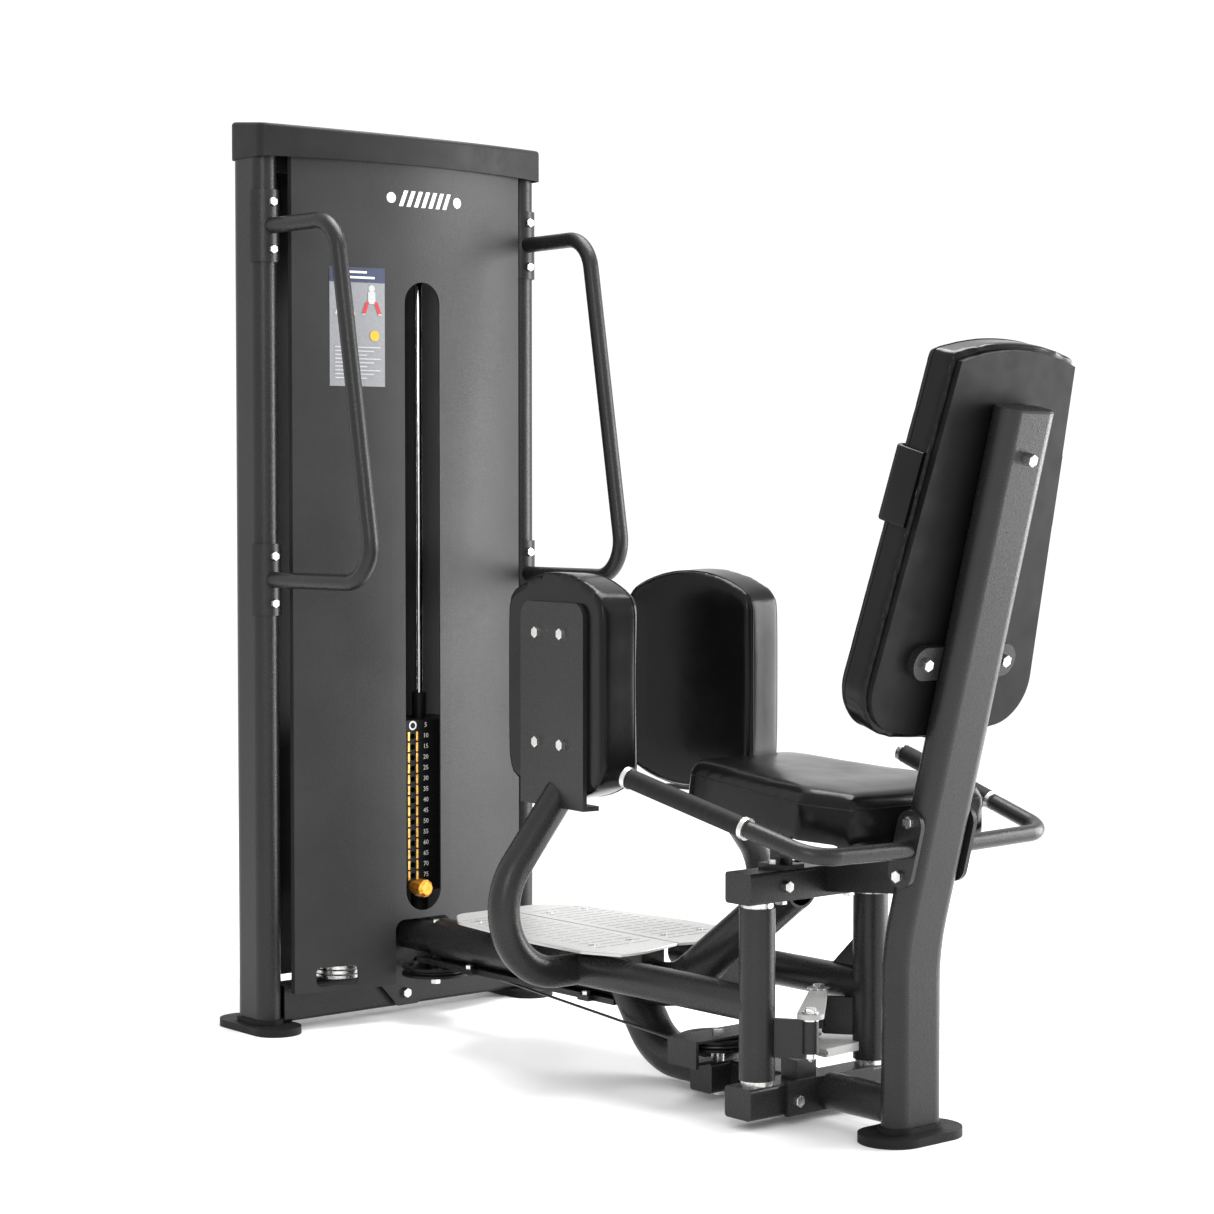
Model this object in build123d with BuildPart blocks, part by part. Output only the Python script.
from build123d import *
import os
from math import asin, atan2, cos, degrees, hypot, radians, sin, tan

os.makedirs("parts", exist_ok=True)

# Hip abductor machine: a weight tower joined by a floor beam to a seat frame with two swinging leg arms.
# X runs across the machine, +Y points to the weight tower and +Z is up. Lengths are in millimetres.
# The origin is on the floor, under the centre of the bounding box.

SIDES = (("left", -1), ("right", 1))

# Tower
tower_y = 766
post_x = 302
post_length = 100
post_width = 50
wall = 3
foot_height = 14
post_top = 1640
base_beam_low = 15
base_beam_high = 85
top_beam_low = 1600
cap_low = 1625
cap_rear_height = 1697
cap_slope = 6
cap_half_width = 330
cap_front_y = 706
cap_apex_y = 648
cap_back_y = 819
panel_half_width = 267
panel_edge_y = 701
panel_apex_y = 657
panel_low = 70
window_half_width = 41
window_low = 207
window_high = 1406
notch_half_width = 65
notch_high = 193

# Assist handles on the tower
handle_high = 1498.5
handle_low = 845.5
handle_radius = 15
handle_bend = 70
saddle_height = 133
saddle_thickness = 5

# Weight stack
stack_y = 742.5
plate_width = 240
plate_depth = 100
plate_pitch = 20.7
plate_thickness = 20.2
plate_count = 16
head_plate_z = 559.5
rod_x = 52
rod_radius = 8
bushing_top = 619
stack_front_y = stack_y - plate_depth / 2
pin_z = head_plate_z - plate_pitch * (plate_count - 1)

# Floor beam
beam_radius = 38
beam_wall = 4
beam_z = 161
beam_front_y = 595
beam_bend_y = -78
brace_slope = radians(36.1)
spigot_radius = 30
spigot_z = 158
flange_y = 711
flange_thickness = 10
strip_low = 113
strip_high = 123
low_tube_z = 42

# Seat frame
pulley_beam_y = (-249, -196)
pivot_beam_y = (-436, -376)
low_beam_z = (17, 67)
high_beam_z = (358, 408)
pulley_beam_half = 82
pivot_beam_half = 170
upright_y = -618
upright_length = 110
upright_width = 50
lean = radians(15)
lean_bend_z = 296
lean_top_z = 1131
rear_foot_size = (188, 110)

# Leg arms
pivot_x = 128.4
pivot_y = -406
barrel_radius = 29
shaft_radius = 12
shaft_gap = 0.05
body_gap = 0.3
barrel_z = (75, 349.4)
arm_radius = 29
arm_z = 194
arm_end_y = 65
pad_tube_radius = 27
pad_tube_y = 31
pad_arc_x = 181
pad_arc_z = 309
pad_arc_radius = 115
pad_arc_end = 39.5
pad_centre = (184.4, 35.5)
pad_toe_in = 6.6
pad_plate_y = (-102, 94)
pad_plate_z = (476, 822)
pad_plate_thickness = 8
pad_lip_depth = 24
pad_half_length = 148.5
pad_z = (486, 873)
pad_crown = 43
pad_thickness = 78
pad_bolt_y = 38.7
pad_bolt_z = (583, 769.5)

# Linkage between the arms
lever_length = 86
lever_angle = 54.5
lever_z = (112, 174)
sleeve_radius = 13
sleeve_z = (121, 173)
link_width = 43
link_end_radius = 15
link_z = (177, 185)
link_pin_radius = 6
loose_pin_radius = 5
loose_bore_radius = 12.5

# Cable and pulleys
cable_radius = 2.5
cable_z = 98
cam_radius = 110
cam_start = 70
cam_end = 185
anchor_angle = 75
beam_pulley_at = (-45, -224)
tower_pulley_at = (0, 621)
flat_pulley_radius = 60
riser_at = (-20, 806)
base_pulley_radius = 42
base_pulley_exit = 25
flange_rise = 4

# Foot plates
foot_plate_top = 237
foot_plate_thickness = 5

# Seat and back rest
seat_thickness = 80
seat_front_y = -214
seat_front_z = 572
seat_back_y = -639
seat_slope = radians(3.5)
board_thickness = 10
cushion_thickness = 60


def save(piece, name):
    piece.part.label = name
    export_step(piece.part, f"parts/{name}.step")


def round_tube(points, bends, radius, tube_wall=0):
    """A round tube along a path of straight runs joined by arcs, solid when it has no wall."""
    with BuildPart() as tube:
        with BuildLine() as path:
            if len(points) > 2:
                FilletPolyline(*points, radius=bends)
            else:
                Line(*points)
        with BuildSketch(Plane(origin=path.line @ 0, z_dir=path.line % 0)):
            Circle(radius)
            if tube_wall:
                Circle(radius - tube_wall, mode=Mode.SUBTRACT)
        sweep()
    return tube.part


def block(x_range, y_range, z_range, rounding=0, tube_wall=0, along=None):
    """A box given by its limits, with its four long edges rounded and hollow when it has a wall."""
    size = [high - low for low, high in (x_range, y_range, z_range)]
    centre = [(high + low) / 2 for low, high in (x_range, y_range, z_range)]
    with BuildPart() as box:
        with Locations(tuple(centre)):
            Box(*size)
        if rounding:
            fillet(box.edges().filter_by(along), rounding)
        if tube_wall:
            cross = [length - 2 * tube_wall for length in size]
            cross[(Axis.X, Axis.Y, Axis.Z).index(along)] = max(size) + 1
            with Locations(tuple(centre)):
                Box(*cross, mode=Mode.SUBTRACT)
    return box.part


def rod(start, end, radius):
    """A solid round bar from one point to another."""
    return round_tube([start, end], None, radius)


def hex_head(centre, direction, across=17, height=8):
    """A hexagonal bolt head that stands on a face at centre and points along direction."""
    with BuildPart() as head:
        with BuildSketch(Plane(origin=centre, z_dir=direction)):
            RegularPolygon(across / 2, 6, major_radius=False)
        extrude(amount=height)
        chamfer(head.faces().sort_by(Axis(centre, direction))[-1].outer_wire().edges(), 0.8)
    return head.part


def on_circle(centre, radius, angle, z=cable_z):
    return (centre[0] + radius * cos(radians(angle)), centre[1] + radius * sin(radians(angle)), z)


def on_lean(z, offset=0.0):
    """A point on the centre line of the leaning upright, moved forwards square to it by offset."""
    y = upright_y - tan(lean) * (z - lean_bend_z)
    return (0, y + offset * cos(lean), z + offset * sin(lean))


def add_all(parts):
    for part in parts:
        add(part)


# ---------------------------------------------------------------- tower
base_beam_y = (721, 771)
top_beam_y = (741, 791)
inner_x = post_x - post_width / 2

for side, sign in SIDES:
    with BuildPart() as tower_post:
        with BuildSketch(Plane.XY.offset(foot_height)):
            with Locations((sign * post_x, tower_y)):
                SlotOverall(post_length, post_width, rotation=90)
                SlotOverall(post_length - 2 * wall, post_width - 2 * wall, rotation=90, mode=Mode.SUBTRACT)
        extrude(amount=post_top - foot_height)
    save(tower_post, f"tower_post_{side}")

# Direction of the level cable run behind the tower pulley, and the pulleys that turn it up and over.
exit_dir = (-sin(radians(base_pulley_exit)), cos(radians(base_pulley_exit)))
base_pulley_at = (
    riser_at[0] - base_pulley_radius * exit_dir[0],
    riser_at[1] - base_pulley_radius * exit_dir[1],
    cable_z + base_pulley_radius,
)
drop_at = (0, stack_y)
top_pulley_radius = hypot(riser_at[0] - drop_at[0], riser_at[1] - drop_at[1]) / 2
top_pulley_at = ((riser_at[0] + drop_at[0]) / 2, (riser_at[1] + drop_at[1]) / 2, 1560)
over_dir = (
    (riser_at[0] - drop_at[0]) / (2 * top_pulley_radius),
    (riser_at[1] - drop_at[1]) / (2 * top_pulley_radius),
)
pulley_half = 8
flat_pulley_half = 9
ear_thickness = 4
ear_gap = 1.5


def pulley_ears(centre, plane_dir, beam_face_z, width=34):
    """Two ears that hold an upright pulley on a cross beam, one on each side of its plane."""
    axle = (plane_dir[1], -plane_dir[0], 0)
    reach = 14 if beam_face_z < centre[2] else -14
    ears = []
    for side_sign in (-1, 1):
        shift = side_sign * (pulley_half + ear_gap + ear_thickness / 2)
        origin = (centre[0] + shift * axle[0], centre[1] + shift * axle[1], centre[2])
        with BuildPart() as ear:
            with BuildSketch(Plane(origin=origin, x_dir=(plane_dir[0], plane_dir[1], 0), z_dir=axle)):
                height = abs(beam_face_z - centre[2]) + abs(reach)
                middle = (beam_face_z - centre[2] + reach) / 2
                up = 1 if Plane(origin=origin, x_dir=(*plane_dir, 0), z_dir=axle).y_dir.Z > 0 else -1
                with Locations((0, up * middle)):
                    RectangleRounded(width, height, 6)
                Circle(5.05, mode=Mode.SUBTRACT)
            extrude(amount=ear_thickness / 2, both=True)
        ears.append(ear.part)
    return ears


with BuildPart() as tower_base_beam:
    add(block((-inner_x, inner_x), base_beam_y, (base_beam_low, base_beam_high), 6, wall, Axis.X))
    add_all(pulley_ears(base_pulley_at, exit_dir, base_beam_high - wall))
save(tower_base_beam, "tower_base_beam")

with BuildPart() as tower_top_beam:
    add(block((-inner_x, inner_x), top_beam_y, (top_beam_low, post_top), 6, wall, Axis.X))
    add_all(pulley_ears(top_pulley_at, over_dir, top_beam_low + wall))
save(tower_top_beam, "tower_top_beam")

with BuildPart() as top_cap:
    with BuildSketch(Plane.XY.offset(cap_low)):
        with BuildLine():
            front = ThreePointArc(
                (-cap_half_width, cap_front_y), (0, cap_apex_y), (cap_half_width, cap_front_y)
            )
            Polyline(
                front @ 1, (cap_half_width, cap_back_y), (-cap_half_width, cap_back_y), front @ 0
            )
        make_face()
    extrude(amount=90)
    fillet(top_cap.edges().filter_by(Axis.Z), 22)
    top_plane = Plane(
        origin=(0, cap_back_y, cap_rear_height),
        x_dir=(1, 0, 0),
        z_dir=(0, -sin(radians(cap_slope)), cos(radians(cap_slope))),
    )
    split(bisect_by=top_plane, keep=Keep.BOTTOM)
    fillet(top_cap.faces().sort_by(Axis.Z)[-1].outer_wire().edges(), 7)
    # Tray and cup recess in the top.
    with BuildSketch(top_plane.offset(-12)):
        with Locations((-70, -70)):
            RectangleRounded(330, 70, 14)
        with Locations((210, -68)):
            Circle(38)
    extrude(amount=40, mode=Mode.SUBTRACT)
    # Hollow underside that takes the posts and the top beam.
    with BuildSketch(Plane.XY.offset(cap_low)):
        with BuildLine():
            inner = ThreePointArc(
                (-cap_half_width + 2.5, cap_front_y + 2.5),
                (0, cap_apex_y + 3),
                (cap_half_width - 2.5, cap_front_y + 2.5),
            )
            Polyline(
                inner @ 1,
                (cap_half_width - 2.5, cap_back_y - 2.5),
                (-cap_half_width + 2.5, cap_back_y - 2.5),
                inner @ 0,
            )
        cavity = make_face()
        fillet(cavity.vertices(), 18)
    extrude(amount=post_top - cap_low, mode=Mode.SUBTRACT)
save(top_cap, "top_cap")

# Bowed sheet in front of the stack, with a long window, a notch for the floor beam and a small port.
sheet = 3
lip = 12
with BuildPart() as front_panel:
    with BuildSketch(Plane.XY.offset(panel_low)):
        with BuildLine():
            outer = ThreePointArc(
                (-panel_half_width, panel_edge_y), (0, panel_apex_y), (panel_half_width, panel_edge_y)
            )
            inside = ThreePointArc(
                (-panel_half_width + sheet, panel_edge_y + sheet),
                (0, panel_apex_y + sheet),
                (panel_half_width - sheet, panel_edge_y + sheet),
            )
            for near, far, step in ((outer @ 1, inside @ 1, -sheet), (outer @ 0, inside @ 0, sheet)):
                Polyline(near, near + (0, lip), near + (step, lip), far)
        make_face()
    extrude(amount=post_top - 2 - panel_low)
    with BuildSketch(Plane.XZ.offset(-panel_edge_y - 40)):
        with Locations((0, (window_low + window_high) / 2)):
            SlotOverall(window_high - window_low, 2 * window_half_width, rotation=90)
        with Locations((0, (panel_low + notch_high) / 2 - 30)):
            RectangleRounded(2 * notch_half_width, notch_high - panel_low + 60, 20)
        with Locations((-186, 98)):
            RectangleRounded(82, 36, 10)
    extrude(amount=120, mode=Mode.SUBTRACT)
save(front_panel, "front_panel")

# Flat sheet behind the stack, with side flanges on the inner faces of the posts and a notch below.
rear_panel_low = 87
with BuildPart() as rear_panel:
    add(block((-inner_x, inner_x), (816, 819), (rear_panel_low, cap_low - 1)))
    add(block((-115, 115), (815, 820), (rear_panel_low - 1, 132)), mode=Mode.SUBTRACT)
    for side, sign in SIDES:
        edge = sorted((sign * inner_x, sign * (inner_x - sheet)))
        add(block(edge, (780, 819), (rear_panel_low, top_beam_low - 2)))
save(rear_panel, "rear_panel")

# Level tube behind the lower pivot beam, which just clears the rear foot.
rear_tube_radius = 30
rear_tube_z = foot_height + rear_tube_radius + 1
rear_tube_run = [
    (0, pivot_beam_y[0] - 8, rear_tube_z),
    (0, upright_y + upright_width / 2, rear_tube_z),
]

# Moulded feet: a long rubber shoe under each post, with a collar round the tube.
with BuildPart() as rubber_feet:
    for x, y, size, post, turn in (
        (-post_x, tower_y, (203, 92), (post_length, post_width), 90),
        (post_x, tower_y, (203, 92), (post_length, post_width), 90),
        (0, upright_y, rear_foot_size, (upright_length, upright_width), 0),
    ):
        with BuildSketch():
            with Locations((x, y)):
                SlotOverall(*size, rotation=turn)
        extrude(amount=foot_height)
        with BuildSketch(Plane.XY.offset(foot_height)):
            with Locations((x, y)):
                SlotOverall(post[0] + 10, post[1] + 10, rotation=turn)
                SlotOverall(*post, rotation=turn, mode=Mode.SUBTRACT)
        extrude(amount=9)
    add(round_tube(rear_tube_run, None, rear_tube_radius + 0.2), mode=Mode.SUBTRACT)
    add(block((-inner_x, inner_x), (base_beam_y[0] - 0.2, base_beam_y[1] + 0.2), (base_beam_low - 0.2, 40)),
        mode=Mode.SUBTRACT)
save(rubber_feet, "rubber_feet")

with BuildPart() as guide_rods:
    for side, sign in SIDES:
        add(rod((sign * rod_x, stack_y, base_beam_high), (sign * rod_x, stack_y, top_beam_low), rod_radius))
save(guide_rods, "guide_rods")

stack_low = pin_z - plate_thickness / 2
with BuildPart() as stack_bumpers:
    with Locations((-rod_x, stack_y, base_beam_high), (rod_x, stack_y, base_beam_high)):
        Cylinder(17, 138, align=(Align.CENTER, Align.CENTER, Align.MIN))
        Cylinder(12, stack_low - 0.4 - base_beam_high, align=(Align.CENTER, Align.CENTER, Align.MIN))
        Cylinder(rod_radius, 200, align=(Align.CENTER, Align.CENTER, Align.MIN), mode=Mode.SUBTRACT)
save(stack_bumpers, "stack_bumpers")

# Assist handles: a bent grip tube between two saddles that hug the front of each post. The grip leans
# inwards by the first number and stands at the y of the second.
grip_top = (8, 519)
grip_low = (11, 405)
post_front_y = tower_y - (post_length - post_width) / 2
for side, sign in SIDES:
    x = sign * post_x
    with BuildPart() as assist_handle:
        add(round_tube(
            [
                (x, post_front_y - 27, handle_high),
                (x - sign * grip_top[0], grip_top[1], handle_high),
                (x - sign * grip_low[0], grip_low[1], handle_low),
                (x, post_front_y - 27, handle_low),
            ],
            handle_bend,
            handle_radius,
        ))
        for z in (handle_low, handle_high):
            with BuildSketch(Plane.XY.offset(z - saddle_height / 2)):
                with Locations((x, post_front_y)):
                    Circle(post_width / 2 + saddle_thickness)
                    Circle(post_width / 2, mode=Mode.SUBTRACT)
                    Rectangle(100, 60, align=(Align.CENTER, Align.MIN), mode=Mode.SUBTRACT)
            extrude(amount=saddle_height)
    save(assist_handle, f"assist_handle_{side}")

# ---------------------------------------------------------------- weight stack
with BuildPart() as head_plate:
    with Locations((0, stack_y, head_plate_z)):
        Box(plate_width, plate_depth, plate_thickness)
    fillet(head_plate.edges().filter_by(Axis.Z), 5)
    head_top = head_plate_z + plate_thickness / 2
    with Locations((-rod_x, stack_y, head_top), (rod_x, stack_y, head_top)):
        Cylinder(14, bushing_top - head_top, align=(Align.CENTER, Align.CENTER, Align.MIN))
    with Locations((0, stack_y, head_top)):
        Cylinder(11, 26, align=(Align.CENTER, Align.CENTER, Align.MIN))
    with Locations((-rod_x, stack_y, head_plate_z), (rod_x, stack_y, head_plate_z)):
        Cylinder(rod_radius + shaft_gap, 160, mode=Mode.SUBTRACT)
save(head_plate, "head_plate")

selector_hole_radius = 5.6
rod_bore_radius = 9
selector_rod_radius = 10
insert_size = (24, 17)
insert_gap = 15
insert_rise = 1
with BuildPart() as weight_plates:
    for row in range(1, plate_count):
        with Locations((0, stack_y, head_plate_z - row * plate_pitch)):
            Box(plate_width, plate_depth, plate_thickness)
    fillet(weight_plates.edges().filter_by(Axis.Z), 5)
    middle_z = (head_plate_z + pin_z) / 2
    with Locations((-rod_x, stack_y, middle_z), (rod_x, stack_y, middle_z)):
        Cylinder(rod_bore_radius, 400, mode=Mode.SUBTRACT)
    with Locations((0, stack_y, middle_z)):
        Cylinder(selector_rod_radius + 0.5, 400, mode=Mode.SUBTRACT)
    with BuildSketch(Plane.XZ.offset(-stack_y)):
        for row in range(1, plate_count):
            with Locations((0, head_plate_z - row * plate_pitch)):
                Circle(selector_hole_radius)
    extrude(amount=plate_depth, mode=Mode.SUBTRACT)
save(weight_plates, "weight_plates")

with BuildPart() as plate_inserts:
    with BuildSketch(Plane.XZ.offset(-stack_front_y)):
        for row in range(1, plate_count - 1):
            with Locations((0, head_plate_z - row * plate_pitch)):
                Rectangle(*insert_size)
                Rectangle(insert_gap, insert_size[1], mode=Mode.SUBTRACT)
    extrude(amount=insert_rise)
save(plate_inserts, "plate_inserts")

with BuildPart() as selector_rod:
    rod_top = head_plate_z - plate_thickness / 2
    add(rod((0, stack_y, stack_low + 2), (0, stack_y, rod_top), selector_rod_radius))
    with BuildSketch(Plane.XZ.offset(-stack_y - 20)):
        for row in range(1, plate_count):
            with Locations((0, head_plate_z - row * plate_pitch)):
                Circle(selector_hole_radius)
    extrude(amount=40, mode=Mode.SUBTRACT)
save(selector_rod, "selector_rod")

# Selector pin in the lowest plate, with a stepped collar and a faceted knob that clears the window.
knob_sides = 10
pin_reach = 58
with BuildPart() as selector_pin:
    front = Plane(origin=(0, stack_front_y, pin_z), x_dir=(1, 0, 0), z_dir=(0, -1, 0))
    with BuildSketch(front.offset(-pin_reach)):
        Circle(5.55)
    extrude(amount=pin_reach + 20)
    with BuildSketch(front.offset(body_gap)):
        Circle(11)
    extrude(amount=16)
    with BuildSketch(front.offset(18)):
        RegularPolygon(17, knob_sides)
    knob = extrude(amount=28)
    chamfer(knob.faces().sort_by(Axis.Y)[0].outer_wire().edges(), 5)
save(selector_pin, "selector_pin")

# ---------------------------------------------------------------- floor beam
with BuildPart() as beam_flange:
    with BuildSketch(Plane.XZ.offset(-flange_y - flange_thickness)):
        with BuildLine():
            edge = Polyline((0, 17), (23, 17), (61, 59), (61, 150), (42, 190), (0, 190))
            mirror(edge, about=Plane.YZ)
        make_face()
        with Locations((22, cable_z)):
            Circle(10, mode=Mode.SUBTRACT)
    extrude(amount=flange_thickness)
save(beam_flange, "beam_flange")

# The main tube runs level, then bends up as a brace whose end is flush with the upper pivot beam.
brace_run = beam_bend_y - pivot_beam_y[1] + 60
brace_end = (0, beam_bend_y - brace_run, beam_z + brace_run * tan(brace_slope))
beam_path = [(0, beam_front_y, beam_z), (0, beam_bend_y, beam_z), brace_end]
beam_core = round_tube(beam_path, 150, beam_radius)
with BuildPart() as main_beam:
    add(round_tube(beam_path, 150, beam_radius, beam_wall))
    with BuildSketch(Plane.XZ.offset(-beam_front_y)):
        with Locations((0, beam_z)):
            Circle(beam_radius)
    extrude(amount=6)
    with BuildSketch(Plane.XZ.offset(-beam_front_y)):
        with Locations((0, spigot_z)):
            Circle(spigot_radius)
    extrude(amount=beam_front_y - flange_y)
    with Locations((0, pivot_beam_y[1] - 100, 350)):
        Box(200, 200, 300, mode=Mode.SUBTRACT)
    with Locations((0, pivot_beam_y[1], high_beam_z[1] + 100)):
        Box(200, 300, 200, mode=Mode.SUBTRACT)
save(main_beam, "main_beam")

tab_half = 42
tab_y = (131, 469)
with BuildPart() as beam_strip:
    add(block((-30, 30), (61, 641), (strip_low, strip_high)))
    for y in tab_y:
        add(block((-tab_half, tab_half), (y - 15, y + 15), (strip_low, strip_high)))
    with Locations((*tower_pulley_at, strip_low)):
        Cylinder(6.05, 60, mode=Mode.SUBTRACT)
save(beam_strip, "beam_strip")

# Tube that drops from the floor beam and runs low into the pulley beam.
low_start = (0, 58, beam_z)
low_corner = (0, -31, low_tube_z)
with BuildPart() as j_tube:
    add(round_tube([low_start, low_corner, (0, pulley_beam_y[1], low_tube_z)], 100, beam_radius, beam_wall))
    add(beam_core, mode=Mode.SUBTRACT)
    with Locations((0, 60, beam_z + 55)):
        Box(200, 200, 110, mode=Mode.SUBTRACT)
    add(block((-31, 31), (60, 200), (strip_low - 0.5, strip_high + 20)), mode=Mode.SUBTRACT)
save(j_tube, "j_tube")

# Two foot plates, side by side, on saddle brackets over the floor beam.
for side, sign in SIDES:
    with BuildPart() as foot_plate:
        with BuildSketch(Plane.XY.offset(foot_plate_top - foot_plate_thickness)):
            with BuildLine():
                Polyline(
                    (2.5, 423), (100, 423), (150, 350), (180, 100),
                    (180, -30), (150, -100), (95, -100), (2.5, -74), close=True,
                )
            plate = make_face()
            fillet(plate.vertices().filter_by_position(Axis.Y, 340, 430).sort_by(Axis.X)[-2:], 42)
            fillet(plate.vertices().filter_by_position(Axis.Y, -80, -70), 45)
            fillet(plate.vertices().filter_by_position(Axis.Y, -110, -90), 28)
            fillet(plate.vertices().filter_by_position(Axis.Y, -31, -29), 40)
        extrude(amount=foot_plate_thickness)
        fillet(foot_plate.faces().sort_by(Axis.Z)[-1].outer_wire().edges(), 1.5)
        if sign < 0:
            mirror(about=Plane.YZ)
            split(bisect_by=Plane.YZ, keep=Keep.BOTTOM)
    save(foot_plate, f"foot_plate_{side}")

bracket_y = (7, 324)
bracket_half = 136
screw_x = (40, 124)
bracket_bar = (226, foot_plate_top - foot_plate_thickness)
with BuildPart() as foot_plate_brackets:
    for y in bracket_y:
        add(block((-bracket_half, bracket_half), (y - 20, y + 20), bracket_bar))
        add(block((-26, 26), (y - 16, y + 16), (185, bracket_bar[0])))
    add(beam_core, mode=Mode.SUBTRACT)
save(foot_plate_brackets, "foot_plate_brackets")

# ---------------------------------------------------------------- seat frame
with BuildPart() as pulley_beam:
    add(block((-pulley_beam_half, pulley_beam_half), pulley_beam_y, low_beam_z, 6, 0, Axis.X))
    add(block((-40, 40), (pivot_beam_y[1], pulley_beam_y[0]), low_beam_z, 6, 0, Axis.Y))
save(pulley_beam, "pulley_beam")

housing_wall = 6
housing_top = (108, 112)
with BuildPart() as pulley_housing:
    add(block((-131, 41), (-265, -195), housing_top))
    add(block((-131, -131 + housing_wall), (-265, -195), (low_beam_z[1], housing_top[1])))
    add(block((-131, -70), (-246, -199), (low_beam_z[1], low_beam_z[1] + 5)))
    with Locations((*beam_pulley_at, 100)):
        Cylinder(6.05, 100, mode=Mode.SUBTRACT)
save(pulley_housing, "pulley_housing")

pivot_beam_x = (-pivot_beam_half, pivot_beam_half)
with BuildPart() as lower_pivot_beam:
    add(block(pivot_beam_x, pivot_beam_y, low_beam_z, 6, 0, Axis.X))
    add(block((-57, -15), (-425, -387), (low_beam_z[1], 98)))
save(lower_pivot_beam, "lower_pivot_beam")

with BuildPart() as upper_pivot_beam:
    add(block(pivot_beam_x, pivot_beam_y, high_beam_z, 6, 0, Axis.X))
save(upper_pivot_beam, "upper_pivot_beam")

with BuildPart() as rear_base_beam:
    add(round_tube(rear_tube_run, None, rear_tube_radius, beam_wall))
    add(block((-97, 97), (pivot_beam_y[0] - 8, pivot_beam_y[0]), (16, 71)))
save(rear_base_beam, "rear_base_beam")

with BuildPart() as pivot_shafts:
    for side, sign in SIDES:
        x = sign * pivot_x
        add(rod((x, pivot_y, low_beam_z[1]), (x, pivot_y, high_beam_z[0]), shaft_radius))
save(pivot_shafts, "pivot_shafts")

upright_front = Plane(
    origin=on_lean(426, upright_width / 2), x_dir=(-1, 0, 0), z_dir=(0, cos(lean), sin(lean))
)


def up_lean(z):
    """Distance up the leaning front face of the upright, from the origin of its plane to height z."""
    return (z - upright_front.origin.Z) / cos(lean)


with BuildPart() as seat_upright:
    with BuildLine() as spine:
        FilletPolyline((0, upright_y, foot_height), (0, upright_y, lean_bend_z), on_lean(lean_top_z), radius=400)
    with BuildSketch(Plane(origin=spine.line @ 0, x_dir=(1, 0, 0), z_dir=spine.line % 0)):
        SlotOverall(upright_length, upright_width)
    sweep()
    chamfer(seat_upright.faces().sort_by(Axis.Z)[-1].outer_wire().edges(), 3)
save(seat_upright, "seat_upright")

bracket_centre = on_lean(462)
side_plate_turn = degrees(lean) + 90
with BuildPart() as handle_brackets:
    for side, sign in SIDES:
        start = sign * upright_length / 2
        with BuildSketch(Plane.YZ.offset(start)):
            with Locations((bracket_centre[1], bracket_centre[2])):
                SlotOverall(124, upright_width, rotation=side_plate_turn)
        extrude(amount=sign * 8)
    # Gusset between the upright and the upper pivot beam.
    front_low = on_lean(375, upright_width / 2 + 1)
    front_high = on_lean(446, upright_width / 2 + 1)
    with BuildSketch(Plane.YZ.offset(-4)):
        with BuildLine():
            Polyline(
                (pivot_beam_y[0], high_beam_z[0] + 8),
                (pivot_beam_y[0], high_beam_z[1]),
                front_high[1:],
                front_low[1:],
                close=True,
            )
        make_face()
    extrude(amount=8)
save(handle_brackets, "handle_brackets")

seat_plane = Plane(
    origin=(0, seat_front_y, seat_front_z), x_dir=(1, 0, 0), z_dir=(0, -sin(seat_slope), cos(seat_slope))
)
seat_depth = seat_front_y - seat_back_y
with BuildPart() as seat_pad:
    with BuildSketch(seat_plane.offset(-seat_thickness)):
        with BuildLine():
            Polyline(
                (-120, 0), (120, 0), (176, -seat_depth + 90), (150, -seat_depth),
                (-150, -seat_depth), (-176, -seat_depth + 90), close=True,
            )
        outline = make_face()
        fillet(outline.vertices().sort_by(Axis.Y)[-2:], 45)
        fillet(outline.vertices().filter_by_position(Axis.X, -400, 400).sort_by(Axis.Y)[:4], 60)
    extrude(amount=seat_thickness)
    fillet(seat_pad.faces().sort_by(Axis.Z)[-1].outer_wire().edges(), 22)
save(seat_pad, "seat_pad")

with BuildPart() as seat_support:
    with BuildSketch(seat_plane.offset(-seat_thickness - 8)):
        with Locations((0, -200)):
            RectangleRounded(200, 300, 12)
    extrude(amount=8)
    for x in (-76, 76):
        add(block((x - 22, x + 22), pivot_beam_y, (high_beam_z[1], high_beam_z[1] + 8)))
        web_x = (x - 4, x + 4)
        add(block(web_x, (pivot_beam_y[0] + 8, pivot_beam_y[1] - 8), (high_beam_z[1], 474)))
save(seat_support, "seat_support")

# Back rest: a board on the leaning upright with a tall cushion in front of it.
back_low = 200
back_high = 820
back_half_low = 191
back_half_high = 136
back_crown_low = 24
back_crown_high = 20


def back_outline(inset):
    """Outline of the back rest in the plane of the board: crowned at both ends and narrower at the top."""
    low, high = back_low + inset, back_high - inset
    bottom, top = back_half_low - inset, back_half_high - inset
    with BuildSketch() as shape:
        with BuildLine():
            ThreePointArc((-bottom, low + back_crown_low), (0, low), (bottom, low + back_crown_low))
            Line((bottom, low + back_crown_low), (top, high - back_crown_high))
            ThreePointArc((top, high - back_crown_high), (0, high), (-top, high - back_crown_high))
            Line((-top, high - back_crown_high), (-bottom, low + back_crown_low))
        face = make_face()
        fillet(face.vertices().filter_by_position(Axis.Y, 0, 500), 82 - inset)
        fillet(face.vertices().filter_by_position(Axis.Y, 500, 1000).sort_by(Axis.Y)[-2:], 58 - inset)
    return shape.sketch


with BuildPart() as back_board:
    with BuildSketch(upright_front.offset(body_gap)):
        add(back_outline(10))
    extrude(amount=board_thickness - body_gap)
save(back_board, "back_board")

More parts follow.
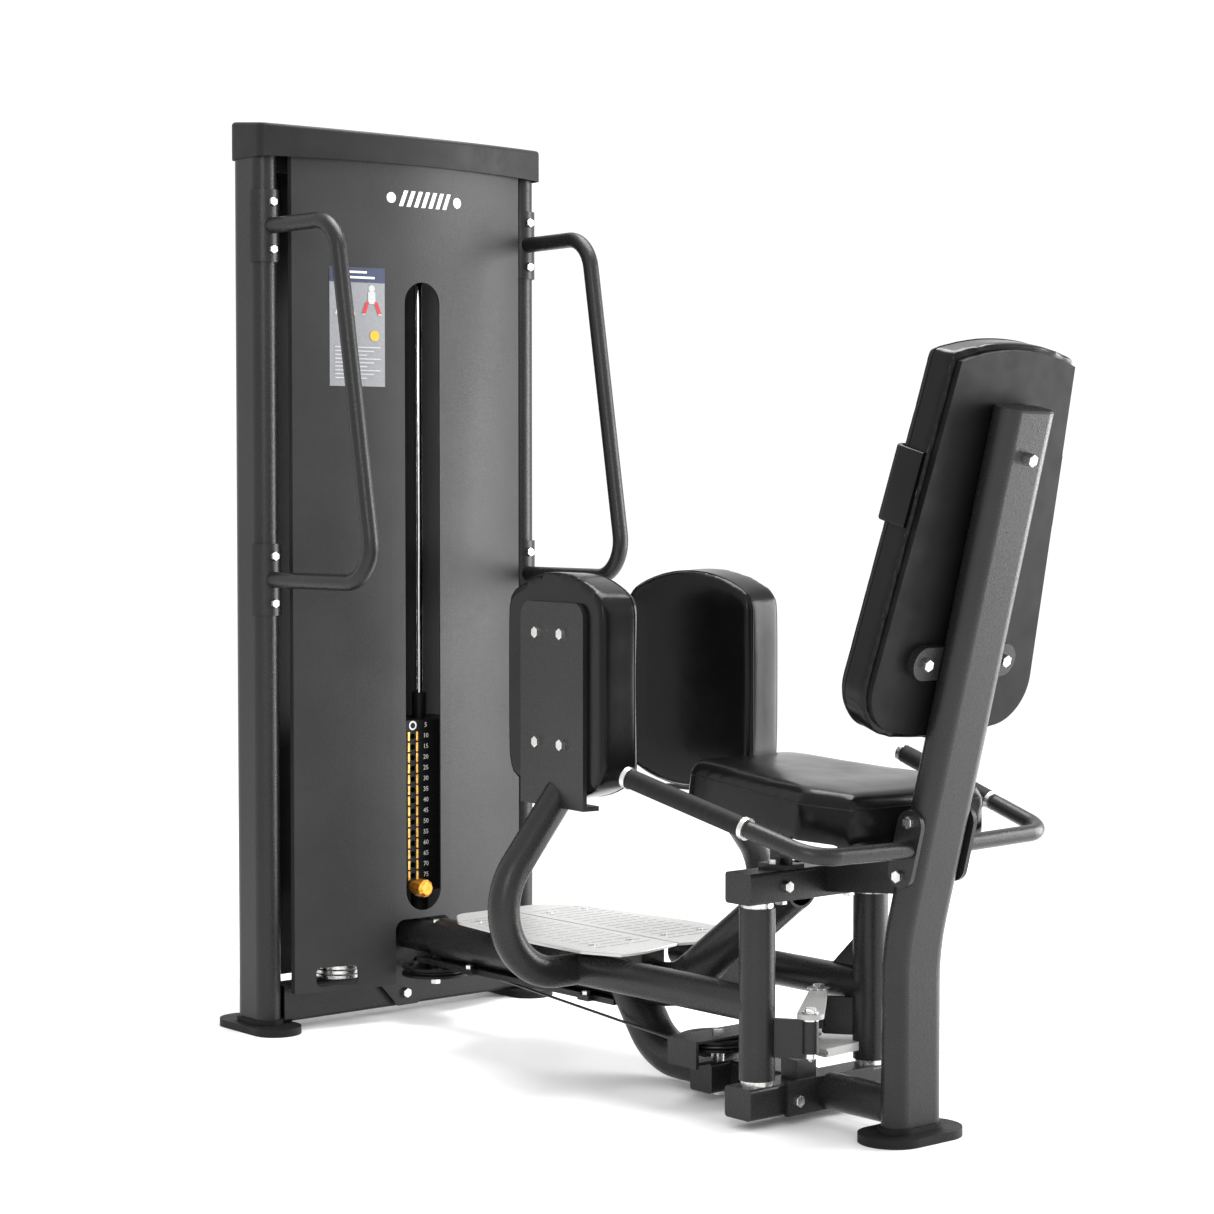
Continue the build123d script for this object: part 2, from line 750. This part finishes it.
with BuildPart() as back_pad:
    with BuildSketch(upright_front.offset(board_thickness)):
        add(back_outline(0))
    extrude(amount=cushion_thickness)
    fillet(back_pad.faces().sort_by(Axis((0, 0, 0), (0, cos(lean), sin(lean))))[-1].outer_wire().edges(), 16)
save(back_pad, "back_pad")

lug_x = 87
lug_radius = 26
lug_v = up_lean(752)
with BuildPart() as back_lugs:
    with BuildSketch(upright_front.offset(-14)):
        with Locations((0, lug_v)):
            SlotCenterToCenter(2 * lug_x, 2 * lug_radius)
            Rectangle(upright_length, 100, mode=Mode.SUBTRACT)
    extrude(amount=14)
save(back_lugs, "back_lugs")

# Side handles beside the seat.
side_corner = (259, -668, 465)
side_tip = (313, -301, 561)
side_start = (63, -672, 462)
side_run = [side_tip[i] - side_corner[i] for i in range(3)]
side_length = hypot(*side_run)
side_dir = [length / side_length for length in side_run]


def on_handle(sign, y):
    """The point on the straight run of a side handle at the given y."""
    step = (y - side_corner[1]) / side_dir[1]
    return (
        sign * (side_corner[0] + step * side_dir[0]),
        y,
        side_corner[2] + step * side_dir[2],
    )


grip_y = (-534, -311)
collar_length = 8
with BuildPart() as side_handles:
    for side, sign in SIDES:
        mirrored = [(sign * x, y, z) for x, y, z in (side_start, side_corner, side_tip)]
        add(round_tube(mirrored, 50, 13.5))
    bracket_face = side_start[0]
    add(block((-bracket_face, bracket_face), (-760, -600), (400, 520)), mode=Mode.SUBTRACT)
save(side_handles, "side_handles")

with BuildPart() as hand_grips:
    for side, sign in SIDES:
        add(rod(on_handle(sign, grip_y[0]), on_handle(sign, grip_y[1]), 15.5))
    add(side_handles.part, mode=Mode.SUBTRACT)
save(hand_grips, "hand_grips")

with BuildPart() as grip_collars:
    for side, sign in SIDES:
        for start, end in ((grip_y[0] - collar_length, grip_y[0]), (grip_y[1], grip_y[1] + collar_length)):
            add(rod(on_handle(sign, start), on_handle(sign, end), 17.5))
    add(side_handles.part, mode=Mode.SUBTRACT)
save(grip_collars, "grip_collars")

# ---------------------------------------------------------------- leg arms
pad_arc_tip = (
    pad_arc_x + pad_arc_radius * cos(radians(pad_arc_end)),
    pad_arc_z + pad_arc_radius * sin(radians(pad_arc_end)),
)
for side, sign in SIDES:
    x = sign * pivot_x
    tip_angle = -lever_angle if side == "left" else 180 - lever_angle
    tip = on_circle((x, pivot_y), lever_length, tip_angle)
    barrel = rod((x, pivot_y, barrel_z[0]), (x, pivot_y, barrel_z[1]), barrel_radius)
    pin_radius = link_pin_radius if side == "left" else loose_pin_radius

    with BuildPart() as swing_arm:
        add(barrel)
        add(rod((x, pivot_y, arm_z), (x, arm_end_y, arm_z), arm_radius))
        # Gusset on top of the tube, against the barrel.
        with BuildSketch(Plane.YZ.offset(x - 4)):
            with BuildLine():
                Polyline(
                    (pivot_y, arm_z), (pivot_y + barrel_radius + 55, arm_z),
                    (pivot_y + barrel_radius + 55, arm_z + arm_radius),
                    (pivot_y + barrel_radius, arm_z + arm_radius + 52), (pivot_y, arm_z + arm_radius + 52),
                    close=True,
                )
            make_face()
        extrude(amount=8)
        # Lever with the sleeve for the link bolt.
        with Locations(Location((x, pivot_y, lever_z[0]), (0, 0, tip_angle))):
            Box(lever_length, 10, lever_z[1] - lever_z[0], align=(Align.MIN, Align.CENTER, Align.MIN))
        with Locations((tip[0], tip[1], sleeve_z[0])):
            Cylinder(sleeve_radius, sleeve_z[1] - sleeve_z[0], align=(Align.CENTER, Align.CENTER, Align.MIN))
            Cylinder(pin_radius, 60, align=(Align.CENTER, Align.CENTER, Align.MIN), mode=Mode.SUBTRACT)
            Cylinder(10, 30, align=(Align.CENTER, Align.CENTER, Align.MAX), mode=Mode.SUBTRACT)
        with Locations((tip[0], tip[1], sleeve_z[1])):
            Cylinder(14, 9, align=(Align.CENTER, Align.CENTER, Align.MIN), mode=Mode.SUBTRACT)
        with Locations((x, pivot_y, 200)):
            Cylinder(shaft_radius + shaft_gap, 400, mode=Mode.SUBTRACT)
    save(swing_arm, f"{side}_arm")

    # The cushion, its plate and the lip below it share a frame that is toed in towards the front.
    pad_frame = Location((sign * pad_centre[0], pad_centre[1], 0), (0, 0, sign * pad_toe_in))
    pad_face = sign * pad_plate_thickness
    with BuildPart() as pad_tube:
        with BuildLine() as path:
            base_line = Line((sign * pivot_x, pad_tube_y, pad_arc_z - pad_arc_radius),
                             (sign * pad_arc_x, pad_tube_y, pad_arc_z - pad_arc_radius))
            middle = radians((pad_arc_end - 90) / 2)
            bow = ThreePointArc(
                base_line @ 1,
                (sign * (pad_arc_x + pad_arc_radius * cos(middle)), pad_tube_y,
                 pad_arc_z + pad_arc_radius * sin(middle)),
                (sign * pad_arc_tip[0], pad_tube_y, pad_arc_tip[1]),
            )
            Line(bow @ 1, bow @ 1 + (bow % 1) * 220)
        with BuildSketch(Plane(origin=path.line @ 0, z_dir=path.line % 0)):
            Circle(pad_tube_radius)
            Circle(pad_tube_radius - wall, mode=Mode.SUBTRACT)
        sweep()
        # Coped to the arm tube, to the back of the pad plate and to the lip below it.
        with Locations((x, pad_tube_y, arm_z)):
            Cylinder(arm_radius, 200, rotation=(90, 0, 0), mode=Mode.SUBTRACT)
        inward = Align.MAX if sign > 0 else Align.MIN
        with Locations(pad_frame * Location((pad_face, 0, pad_plate_z[0]))):
            Box(300, 200, 400, align=(inward, Align.CENTER, Align.MIN), mode=Mode.SUBTRACT)
    save(pad_tube, f"{side}_pad_tube")

    plate_x = sorted((0, pad_face))
    lip_x = sorted((pad_face, -sign * pad_lip_depth))
    with BuildPart() as pad_plate:
        with Locations(pad_frame):
            add(block(plate_x, pad_plate_y, pad_plate_z))
        fillet(pad_plate.edges().filter_by(lambda edge: abs(edge.tangent_at(0).X) > 0.9).sort_by(Axis.Z)[-2:], 27)
        with Locations(pad_frame):
            add(block(lip_x, pad_plate_y, (pad_plate_z[0], pad_plate_z[0] + pad_plate_thickness)))
    save(pad_plate, f"{side}_pad_plate")

    with BuildPart() as thigh_pad:
        with BuildSketch(Plane(pad_frame) * Plane.YZ):
            with BuildLine():
                low, high = pad_z[0] + pad_crown, pad_z[1] - pad_crown
                ThreePointArc((-pad_half_length, low), (0, pad_z[0]), (pad_half_length, low))
                Line((pad_half_length, low), (pad_half_length, high))
                ThreePointArc((pad_half_length, high), (0, pad_z[1]), (-pad_half_length, high))
                Line((-pad_half_length, high), (-pad_half_length, low))
            outline = make_face()
            fillet(outline.vertices(), 45)
        extrude(amount=-sign * pad_thickness)
        inner_face = thigh_pad.faces().sort_by(Axis.X)[0 if sign > 0 else -1]
        fillet(inner_face.outer_wire().edges(), 10)
    save(thigh_pad, f"{side}_thigh_pad")

    with BuildPart() as arm_bolts:
        with Locations(pad_frame):
            for y in (-pad_bolt_y, pad_bolt_y):
                for z in pad_bolt_z:
                    add(hex_head((pad_face, y, z), (sign, 0, 0), 17, 8))
        under = sleeve_z[0]
        cap_washer = link_z[1] + body_gap
        add(rod((tip[0], tip[1], under), (tip[0], tip[1], cap_washer + 2), pin_radius))
        add(rod((tip[0], tip[1], sleeve_z[1]), (tip[0], tip[1], link_z[0] - body_gap), sleeve_radius))
        washer = 13 if side == "left" else 19
        add(rod((tip[0], tip[1], cap_washer), (tip[0], tip[1], cap_washer + 2), washer))
        add(hex_head((tip[0], tip[1], cap_washer + 2), (0, 0, 1), 17, 6))
        with Locations((tip[0], tip[1], under)):
            Cylinder(9, 8, align=(Align.CENTER, Align.CENTER, Align.MAX))
        with Locations((tip[0], tip[1], under - 8)):
            Sphere(7)
    save(arm_bolts, f"{side}_arm_bolts")

left_tip = on_circle((-pivot_x, pivot_y), lever_length, -lever_angle)
right_tip = on_circle((pivot_x, pivot_y), lever_length, 180 - lever_angle)
with BuildPart() as link_bar:
    with BuildSketch(Plane.XY.offset(link_z[0])):
        with Locations(left_tip[:2]):
            Circle(link_width / 2)
        with Locations(right_tip[:2]):
            Circle(link_end_radius)
        make_hull()
        with Locations(left_tip[:2]):
            Circle(link_pin_radius + shaft_gap, mode=Mode.SUBTRACT)
        with Locations(right_tip[:2]):
            Circle(loose_bore_radius, mode=Mode.SUBTRACT)
    extrude(amount=link_z[1] - link_z[0])
    chamfer(link_bar.faces().sort_by(Axis.Z)[-1].edges(), 0.6)
save(link_bar, "link_bar")

# Cam: a grooved sector on the right barrel that winds the cable.
with BuildPart() as cable_cam:
    cam_origin = (pivot_x, pivot_y, cable_z)
    cam_start_dir = (cos(radians(cam_start)), sin(radians(cam_start)), 0)
    with BuildSketch(Plane(origin=cam_origin, x_dir=cam_start_dir, z_dir=(cam_start_dir[1], -cam_start_dir[0], 0))):
        groove = cam_radius - cable_radius - body_gap
        with BuildLine():
            Polyline(
                (barrel_radius, -7), (groove + 4, -7), (groove + 4, -3.5), (groove, -3.5),
                (groove, 3.5), (groove + 4, 3.5), (groove + 4, 7), (barrel_radius, 7), close=True,
            )
        make_face()
    revolve(axis=Axis(cam_origin, (0, 0, 1)), revolution_arc=cam_end - cam_start)
save(cable_cam, "cable_cam")

# ---------------------------------------------------------------- cable and pulleys
def turn_of(first, second):
    """Angle of the straight run between two points."""
    return degrees(atan2(second[1] - first[1], second[0] - first[0]))


pulley_gap = hypot(beam_pulley_at[0] - tower_pulley_at[0], beam_pulley_at[1] - tower_pulley_at[1])
cross_tilt = degrees(asin(2 * flat_pulley_radius / pulley_gap))
run_angle = turn_of(tower_pulley_at, beam_pulley_at) - cross_tilt
cam_gap = hypot(pivot_x - beam_pulley_at[0], pivot_y - beam_pulley_at[1])
cam_tilt = degrees(asin((flat_pulley_radius + cam_radius) / cam_gap))
cam_run_angle = turn_of(beam_pulley_at, (pivot_x, pivot_y)) + cam_tilt
leave_cam = on_circle((pivot_x, pivot_y), cam_radius, cam_run_angle + 90)
leave_beam = on_circle(beam_pulley_at, flat_pulley_radius, cam_run_angle - 90)
reach_beam = on_circle(beam_pulley_at, flat_pulley_radius, run_angle - 90)
leave_tower = on_circle(tower_pulley_at, flat_pulley_radius, run_angle + 90)
reach_tower = on_circle(tower_pulley_at, flat_pulley_radius, base_pulley_exit)
beam_wrap_middle = (cam_run_angle + run_angle) / 2 - 90
tower_wrap_middle = (run_angle + 90 + base_pulley_exit) / 2


def on_upright_circle(centre, radius, direction, angle):
    """A point on an upright circle whose level direction is given."""
    level = radius * cos(radians(angle))
    return (
        centre[0] + level * direction[0],
        centre[1] + level * direction[1],
        centre[2] + radius * sin(radians(angle)),
    )


with BuildPart() as cable:
    with BuildLine() as route:
        Line(leave_cam, leave_beam)
        ThreePointArc(
            leave_beam, on_circle(beam_pulley_at, flat_pulley_radius, beam_wrap_middle + 360), reach_beam
        )
        Line(reach_beam, leave_tower)
        ThreePointArc(
            leave_tower, on_circle(tower_pulley_at, flat_pulley_radius, tower_wrap_middle), reach_tower
        )
        base_low = on_upright_circle(base_pulley_at, base_pulley_radius, exit_dir, -90)
        base_side = on_upright_circle(base_pulley_at, base_pulley_radius, exit_dir, 0)
        Line(reach_tower, base_low)
        ThreePointArc(
            base_low, on_upright_circle(base_pulley_at, base_pulley_radius, exit_dir, -45), base_side
        )
        over_start = on_upright_circle(top_pulley_at, top_pulley_radius, over_dir, 0)
        over_end = on_upright_circle(top_pulley_at, top_pulley_radius, over_dir, 180)
        Line(base_side, over_start)
        ThreePointArc(
            over_start, on_upright_circle(top_pulley_at, top_pulley_radius, over_dir, 90), over_end
        )
    with BuildSketch(Plane(origin=route.line @ 0, z_dir=route.line % 0)):
        Circle(cable_radius)
    sweep()
save(cable, "cable")

with BuildPart() as cable_drop:
    add(rod((*drop_at, head_top + 26), (*drop_at, top_pulley_at[2]), cable_radius))
save(cable_drop, "cable_drop")

with BuildPart() as cam_cable:
    with BuildLine() as wound:
        ThreePointArc(
            leave_cam,
            on_circle((pivot_x, pivot_y), cam_radius, (cam_run_angle + 90 + anchor_angle) / 2),
            on_circle((pivot_x, pivot_y), cam_radius, anchor_angle),
        )
    with BuildSketch(Plane(origin=wound.line @ 0, z_dir=wound.line % 0)):
        Circle(cable_radius)
    sweep()
save(cam_cable, "cam_cable")


def grooved_wheel(plane, radius, half_width, bore):
    """A pulley with a round-bottomed groove for the cable and a shallow hollow on each side."""
    rim = radius + flange_rise
    with BuildPart() as wheel:
        with BuildSketch(plane):
            Circle(rim)
            Circle(bore, mode=Mode.SUBTRACT)
        extrude(amount=half_width, both=True)
        with BuildSketch(Plane(origin=plane.origin, x_dir=plane.x_dir, z_dir=plane.y_dir)):
            with Locations((radius, 0)):
                Circle(cable_radius + body_gap)
            with BuildLine():
                depth = cable_radius + body_gap
                Polyline((radius, -depth), (rim + 1, -depth - 2), (rim + 1, depth + 2), (radius, depth), close=True)
            make_face()
        revolve(axis=Axis(plane.origin, plane.z_dir), mode=Mode.SUBTRACT)
        if radius > 40:
            for end in (half_width, -half_width):
                with BuildSketch(plane.offset(end)):
                    Circle(radius - 9)
                    Circle(bore + 9, mode=Mode.SUBTRACT)
                extrude(amount=-3 if end > 0 else 3, mode=Mode.SUBTRACT)
    return wheel


def level_plane(centre):
    return Plane(origin=(*centre, cable_z), x_dir=(1, 0, 0), z_dir=(0, 0, 1))


def upright_plane(centre, direction):
    return Plane(origin=centre, x_dir=(*direction, 0), z_dir=(direction[1], -direction[0], 0))


pulley_planes = {
    "beam_pulley": (level_plane(beam_pulley_at), flat_pulley_radius, flat_pulley_half, 6),
    "tower_pulley": (level_plane(tower_pulley_at), flat_pulley_radius, flat_pulley_half, 6),
    "base_pulley": (upright_plane(base_pulley_at, exit_dir), base_pulley_radius, pulley_half, 5),
    "top_pulley": (upright_plane(top_pulley_at, over_dir), top_pulley_radius, pulley_half, 5),
}
for name, (plane, radius, half_width, axle) in pulley_planes.items():
    save(grooved_wheel(plane, radius, half_width, axle + shaft_gap), name)

# ---------------------------------------------------------------- bolts, washers and axles of the frame
disc_at = (-138, 746)
with BuildPart() as frame_bolts:
    for side, sign in SIDES:
        for z in (handle_low - 43.5, handle_low + 43.5, handle_high - 43.5, handle_high + 43.5):
            add(hex_head((sign * post_x, post_front_y - 30, z), (0, -1, 0), 15, 7))
        for low, high in ((low_beam_z[1], barrel_z[0] - body_gap), (barrel_z[1] + body_gap, high_beam_z[0])):
            with Locations((sign * pivot_x, pivot_y, low)):
                Cylinder(26, high - low, align=(Align.CENTER, Align.CENTER, Align.MIN))
                Cylinder(shaft_radius, high - low, align=(Align.CENTER, Align.CENTER, Align.MIN),
                         mode=Mode.SUBTRACT)
        add(hex_head((sign * 92.5, pivot_beam_y[0], 382.5), (0, -1, 0)))
        add(hex_head((sign * 75, pivot_beam_y[0] - 8, 39), (0, -1, 0)))
        add(hex_head((sign * 92, pivot_y, high_beam_z[1] + 8), (0, 0, 1)))
        add(hex_head((sign * 76, pivot_y, high_beam_z[0]), (0, 0, -1), 17, 9))
        for z in (504, 419):
            centre = on_lean(z)
            add(hex_head((sign * (upright_length / 2 + 8), centre[1], z), (sign, 0, 0)))
        lug = upright_front.from_local_coords((sign * lug_x, lug_v, -14))
        add(hex_head(tuple(lug), tuple(-upright_front.z_dir)))
    add(hex_head(on_lean(1062, -upright_width / 2), tuple(-upright_front.z_dir), 17, 14))
    for side, sign in SIDES:
        for x in screw_x:
            for y in bracket_y:
                add(rod((sign * x, y, foot_plate_top), (sign * x, y, foot_plate_top + 1.5), 6))
    # Spare discs on a stub on the base beam.
    add(rod((disc_at[0], disc_at[1], base_beam_high), (disc_at[0], disc_at[1], base_beam_high + 27), 9))
    for level in range(3):
        low = base_beam_high + 9 * level
        add(rod((*disc_at, low), (*disc_at, low + 6), 44))
    add(hex_head((-5, flange_y, 41), (0, -1, 0)))
    add(hex_head((0, 616, spigot_z + spigot_radius), (0, 0, 1), 13, 6))
    for y in tab_y:
        for sign in (-1, 1):
            add(hex_head((sign * 34, y, strip_high), (0, 0, 1), 14, 7))
    for (x, y), low, high in (
        (beam_pulley_at, low_beam_z[1], housing_top[1]),
        (tower_pulley_at, cable_z - flat_pulley_half - 8, strip_high),
    ):
        add(rod((x, y, low), (x, y, high), 6))
    gap = flat_pulley_half + body_gap
    for (x, y), low, high in (
        (beam_pulley_at, low_beam_z[1], cable_z - gap),
        (tower_pulley_at, cable_z + gap, strip_low),
        (tower_pulley_at, cable_z - gap - 4, cable_z - gap),
    ):
        add(rod((x, y, low), (x, y, high), 11))
    add(hex_head((*beam_pulley_at, housing_top[1]), (0, 0, 1), 17, 6))
    add(hex_head((*beam_pulley_at, low_beam_z[0]), (0, 0, -1), 17, 9))
    add(hex_head((*tower_pulley_at, cable_z - gap - 4), (0, 0, -1), 17, 14))
    ear_reach = pulley_half + ear_gap + ear_thickness
    for centre, direction in ((base_pulley_at, exit_dir), (top_pulley_at, over_dir)):
        ends = []
        for reach in (-ear_reach, ear_reach):
            ends.append((centre[0] + reach * direction[1], centre[1] - reach * direction[0], centre[2]))
        add(rod(ends[0], ends[1], 5))
        add(hex_head(ends[0], (-direction[1], direction[0], 0), 15, 5))
        add(hex_head(ends[1], (direction[1], -direction[0], 0), 15, 5))
save(frame_bolts, "frame_bolts")
